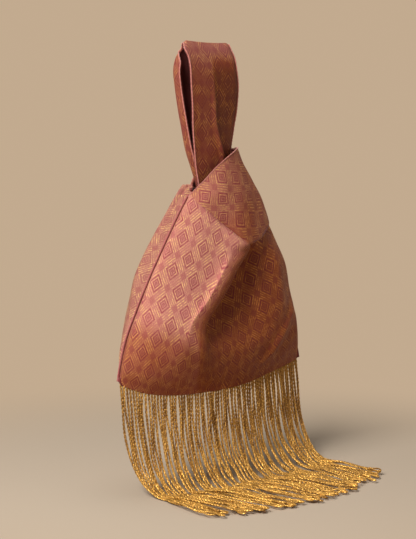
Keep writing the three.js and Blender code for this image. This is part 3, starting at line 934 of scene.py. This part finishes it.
def floor_places(number, random):
    """Where one cord touches the floor and where it ends: the lay, the clump it is in and some chance."""
    lay = np.array(FRINGE_LAY, float)
    share = number / (CORD_COUNT - 1)
    touch_x, touch_y, end_x, end_y = (np.interp(share, lay[:, 0], lay[:, i]) for i in range(1, 5))
    clump = 3.2 * math.sin(number * 1.7) + 2.2 * math.sin(number * 0.61 + 1.0)
    touch = np.array([touch_x + clump * 0.5 + random.normal() * 1.2, touch_y + random.normal() * 3.5])
    end = np.array([end_x + clump * 1.6 + random.normal() * 4.5, end_y + random.normal() * 3.0])
    return touch, end


def cord_guide(start, touch, end, random):
    """The points that one cord passes: from the hem, down through the air and over the floor."""
    floor = FLOOR_Z + 2 * CORD_PLY_RADIUS + 0.2
    drop = start[2] - floor
    points = [start]
    for down, forward in CORD_FALL:
        wobble = np.array([random.normal() * 0.9, random.normal() * 0.9])
        points.append(np.append(start[:2] + (touch - start[:2]) * forward + wobble, start[2] - drop * down))
    layer = abs(random.normal()) * 1.6
    points.append(np.append(touch, floor + layer * 0.6))
    run = end - touch
    length = np.linalg.norm(run)
    sideways = np.array([-run[1], run[0]]) / length
    curl = random.normal() * 0.07
    for along in CORD_RUN:
        bend = sideways * (curl * math.sin(along * 2.8) * length + random.normal() * 1.6)
        lift = floor + layer * (1.15 - 0.6 * along) + abs(random.normal()) * 0.7
        points.append(np.append(touch + run * along + bend, lift))
    return points


def cord_route(front, number, random):
    """One cord's line from the hem to its looped end, and how far along it each point lies."""
    touch, end = floor_places(number, random)
    start = hem_point(front, number / (CORD_COUNT - 1)) + [0, 1.2, 2.0]
    guide = cord_guide(start, touch, end, random)
    fine = spline(guide, np.linspace(0, len(guide) - 1, 260))
    run = arc_length(fine)
    length = CORD_LENGTH + random.normal() * 2.5
    steps = np.linspace(0, min(length, run[-1]), CORD_POINTS)
    return along_line(fine, run, steps), steps


def looped_cord(route, steps, phase):
    """The line of the single strand that runs down a cord, round its looped end and back up."""
    tangent = unit(np.gradient(route, axis=0))
    side = unit(np.cross(tangent, CORD_GUIDE))
    other = np.cross(tangent, side)
    turn = phase + steps * 2 * math.pi / CORD_TWIST_PITCH
    left = steps[-1] - steps
    apart = CORD_APART + LOOP_SPREAD * np.sin(np.clip(left / LOOP_LENGTH, 0, 1) * math.pi)
    apart = apart * np.sqrt(np.clip(left / 1.2, 0, 1))
    swing = side * np.cos(turn)[:, None] + other * np.sin(turn)[:, None]
    level = np.stack([-tangent[:, 1], tangent[:, 0], 0.25 * math.sin(phase) + 0 * left], axis=-1)
    lying = (1 - smooth_step(left, LOOP_LENGTH, LOOP_LENGTH * 1.5))[:, None]
    swing = unit(swing * (1 - lying) + level * lying) * apart[:, None]
    line = np.concatenate([route + swing, (route - swing)[::-1][1:]])
    line[:, 2] = np.maximum(line[:, 2], FLOOR_Z + CORD_PLY_RADIUS + 0.1)
    return line


def build_fringe(front, material):
    """All the cords, in four objects side by side."""
    random = np.random.default_rng(7)
    made = []
    per_section = CORD_COUNT // FRINGE_SECTIONS
    for section in range(FRINGE_SECTIONS):
        cords, places = [], []
        for number in range(section * per_section, (section + 1) * per_section):
            route, steps = cord_route(front, number, random)
            line = looped_cord(route, steps, random.uniform(0, 2 * math.pi))
            cords.append(tube_mesh(line, CORD_PLY_RADIUS, CORD_SIDES))
            along = np.repeat(arc_length(line) / CORD_PLACE_UNIT, CORD_SIDES)
            around = np.tile(np.arange(CORD_SIDES) / CORD_SIDES, len(line)) + number * 3
            places.append(np.stack([along, around], axis=-1))
        thing = new_object(f"fringe_cords_{section + 1}", *joined(cords), material, "bag", "fringe_cord")
        set_places(thing.data, np.concatenate(places))
        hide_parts(f"fringe_section_{section + 1}")
        made.append(thing)
    return made


# Stage, light and camera


def add_aimed(name, data, place, direction):
    """Puts a lamp or the camera at a place, in metres, and turns it to look along a direction."""
    thing = bpy.data.objects.new(name, data)
    thing.location = place
    thing.rotation_euler = Vector(direction).to_track_quat("-Z", "Y").to_euler()
    bpy.context.scene.collection.objects.link(thing)
    return thing


def add_light(name, place, size, watts, colour):
    """A round lamp turned to the bag."""
    data = bpy.data.lights.new(name, "AREA")
    data.shape = "DISK"
    data.size = size
    data.energy = watts
    data.color = colour
    add_aimed(name, data, place, Vector(LIGHT_AIM) - Vector(place))


def build_room():
    """Soft light from all round, and the backdrop's colour where the room itself is seen."""
    room = Shader(bpy.data.worlds.new("room"))
    light = room.tree.nodes["Background"]
    room.put(ROOM_LIGHT, light.inputs[0])
    room.put(ROOM_STRENGTH, light.inputs[1])
    backdrop = room.node("ShaderNodeBackground", {0: BACKDROP_BEIGE}).outputs[0]
    both = room.node("ShaderNodeMixShader", {0: seen_directly(room), 1: light.outputs[0], 2: backdrop})
    room.put(both.outputs[0], room.tree.nodes["World Output"].inputs[0])
    bpy.context.scene.world = room.owner


def build_stage():
    """A pale floor that runs out into a plain backdrop, and three lamps."""
    turns = np.linspace(0, 2 * math.pi, FLOOR_SIDES, endpoint=False)
    rim = np.stack([np.cos(turns), np.sin(turns), 0 * turns], axis=-1) * FLOOR_RADIUS
    rim += [0, 0, FLOOR_Z - FLOOR_GAP]
    new_object("floor", rim, [list(range(len(rim)))], floor_material())
    for light in LIGHTS:
        add_light(*light)
    build_room()


def build_camera():
    """The photograph's view, from in front and to the left."""
    data = bpy.data.cameras.new("camera")
    data.lens = CAMERA_LENS
    data.sensor_fit = "VERTICAL"
    data.sensor_height = CAMERA_FRAME
    pitch = math.radians(CAMERA_PITCH)
    level = math.sqrt(0.5) * math.cos(pitch)
    ahead = (level, level, -math.sin(pitch))
    bpy.context.scene.camera = add_aimed("camera", data, Vector(CAMERA_PLACE) * MM, ahead)


# The whole bag


def build_cloth(front, back, loop, handle, lining):
    """The four brocade pieces, each with its lining."""
    panel = brocade_material("brocade_panel")
    # The strap and the back are darker copies of the panel's brocade: a depth below 1 is painted shade over
    # the whole piece
    strap = brocade_material("brocade_strap", depth=0.82, clear=0.75, speckled=0.08, dull=0.03)
    rear = brocade_material("brocade_back", depth=0.72, clear=0.45, speckled=0.3)
    pieces = {}
    # Each piece but the back carries painted shade and shot-silk hue, point by point
    for name, grid, cloth, lattice, wedge, painted_shade_and_hue, body in (
        ("outer_front", front, panel, (-55, 56), 28, front_painted_shade(front), "bag"),
        ("outer_back", back, rear, (-44, 46), 0, np.zeros(back.shape[:2]), "bag"),
        ("short_loop", loop, panel, (-25, 65), 0, loop_painted_shade(loop), "short_loop"),
        ("long_handle", handle, strap, (-52, 52), 0, handle_painted_shade(handle), None),
    ):
        places = pattern_places(grid, lattice, wedge)
        pieces[name] = cloth_object(name, grid, BROCADE_THICKNESS, cloth, body, "brocade", places, painted_shade_and_hue)
        inside = grid - grid_normals(grid) * LINING_GAP
        pieces[name + "_lining"] = cloth_object(
            name + "_lining_cloth", inside, LINING_THICKNESS, lining, body, "lining"
        )
    return pieces


def build_edges(front, loop, handle, plain):
    """The rolled edges of the straps, and the side seams with their rolls and stitches, and a dark tube that
    is painted shadow in the left seam's crevice.
    """
    pink = plain["rolled_edge"]
    made = [rolled_edge("loop_rim", loop[0] + [0, 0, 0.5], "short_loop", pink, LOOP_RIM_RADIUS)]
    for name, column in (("handle_left_edge", 0), ("handle_right_edge", -1)):
        made.append(rolled_edge(name, handle[:, column], None, pink))
    for name, column, side in (("left_seam_roll", 0, -1), ("right_seam_roll", -1, 1)):
        line = front[SEAM_START:, column] + [side * 0.9, 1.5, 0]
        made.append(rolled_edge(name, line, "bag", plain["seam_roll"], scallop=SEAM_SCALLOP))
    # A dark tube along the left seam, as painted shadow in its crevice
    line = front[SEAM_START:, 0] + [-0.2, 0.1, 0]
    made.append(tube_object("left_seam_painted_shadow", line, SEAM_SHADOW_RADIUS, 8, plain["seam_painted_shadow"], "bag", "lining"))
    line = front[STITCH_START:, STITCH_COLUMN]
    made.append(stitches("left_seam_stitches", line, (-0.6, -0.7, 0.1), plain["thread"], "bag"))
    return {thing.name: thing for thing in made}


def build():
    """Every piece of the bag and how it moves, with the model's parts that the pieces replace hidden."""
    plain = {name: plain_cloth_material(name, *look) for name, look in PLAIN_CLOTHS.items()}
    front, loop, handle = front_grid(), loop_grid(), handle_grid()
    pieces = build_cloth(front, back_grid()[:, ::-1], loop, handle, plain["lining"])
    edges = build_edges(front, loop, handle, plain)
    fringe = build_fringe(front, cord_material())
    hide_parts("outer_front_panel")
    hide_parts("front_lining")
    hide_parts("outer_back_panel")
    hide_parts("back_lining")
    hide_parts("short_loop_outer")
    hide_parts("short_loop_lining")
    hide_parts("long_handle_outer", "handle_front_leg_outer", "handle_back_leg_outer")
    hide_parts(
        "long_handle_lining", "handle_front_leg_lining", "handle_back_leg_lining",
    )
    bending = [pieces["long_handle"], pieces["long_handle_lining"]]
    for thing in bending + [edges["handle_left_edge"], edges["handle_right_edge"]]:
        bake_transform(thing)


build()
build_stage()
build_camera()
bpy.context.scene.view_settings.view_transform = "Standard"
